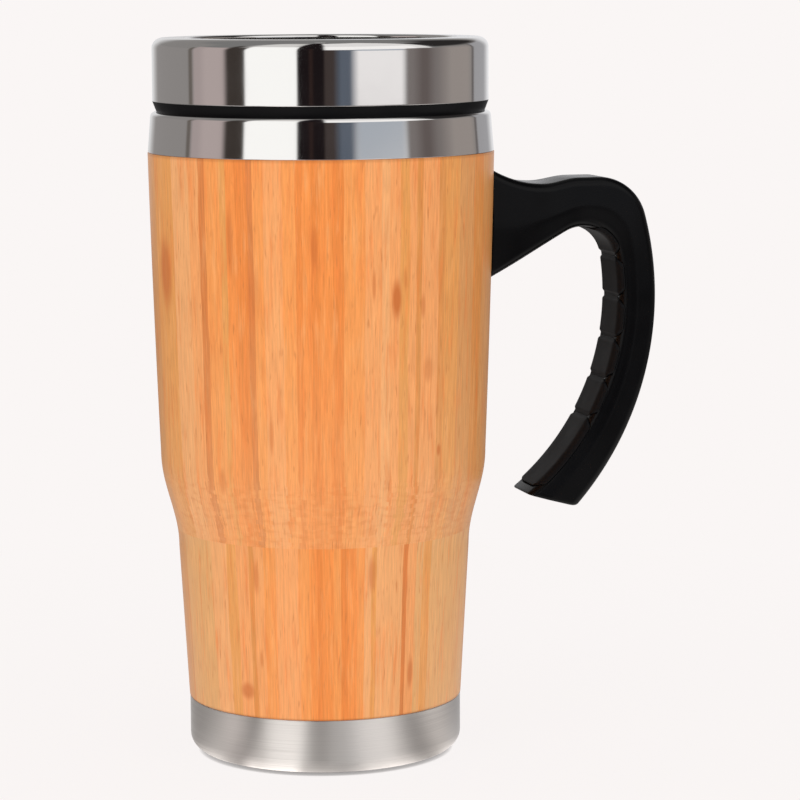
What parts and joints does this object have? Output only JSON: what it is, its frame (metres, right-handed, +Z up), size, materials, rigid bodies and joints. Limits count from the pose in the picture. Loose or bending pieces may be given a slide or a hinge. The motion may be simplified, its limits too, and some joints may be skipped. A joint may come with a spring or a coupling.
{
  "type": "travel mug",
  "caption": "Lidded travel mug: steel liner in a waisted bamboo sleeve, steel base and collar, push-in lid with slider, open side handle.",
  "frame": {"origin": "centre of the face the mug stands on, on the mug's axis", "axes": "+Z up along the mug's axis, +X from the axis through the middle of the handle, drink slot of the lid towards -Y"},
  "size_m": [0.1306, 0.087, 0.1812],
  "materials": {
    "polished_steel": "polished, faintly turned",
    "satin_steel": "brushed round the axis",
    "liner_steel": "drawn, satin",
    "screw_steel": "zinc plated",
    "bamboo": "turned and clear-coated, laminated strips",
    "handle_plastic": "moulded, glossy",
    "grip_rubber": "soft, matt",
    "lid_plastic": "moulded, fine texture",
    "slider_plastic": "moulded, satin",
    "spacer_plastic": "moulded",
    "pad_rubber": "matt",
    "silicone": "translucent, matt"
  },
  "bodies": {
    "mug": {"inner_liner": "liner_steel", "rim_collar": "polished_steel", "bamboo_sleeve": "bamboo", "base_cup": "satin_steel", "base_pad": "pad_rubber", "liner_spacer": "spacer_plastic", "handle": "handle_plastic", "grip_pad": "grip_rubber", "handle_plate": "liner_steel", "handle_screws": "screw_steel"},
    "lid": {"lid_cover": "polished_steel", "lid_core": "lid_plastic", "lid_seal": "silicone"},
    "slider": {"slider": "slider_plastic", "slider_seal": "silicone"}
  },
  "joints": [
    {"name": "lid_lift", "type": "slide", "parent": "mug", "child": "lid", "axis": [0, 0, 1], "range_m": [0, 0.045]},
    {"name": "slider_slide", "type": "slide", "parent": "lid", "child": "slider", "axis": [0, 1, 0], "range_m": [0, 0.014]}
  ]
}
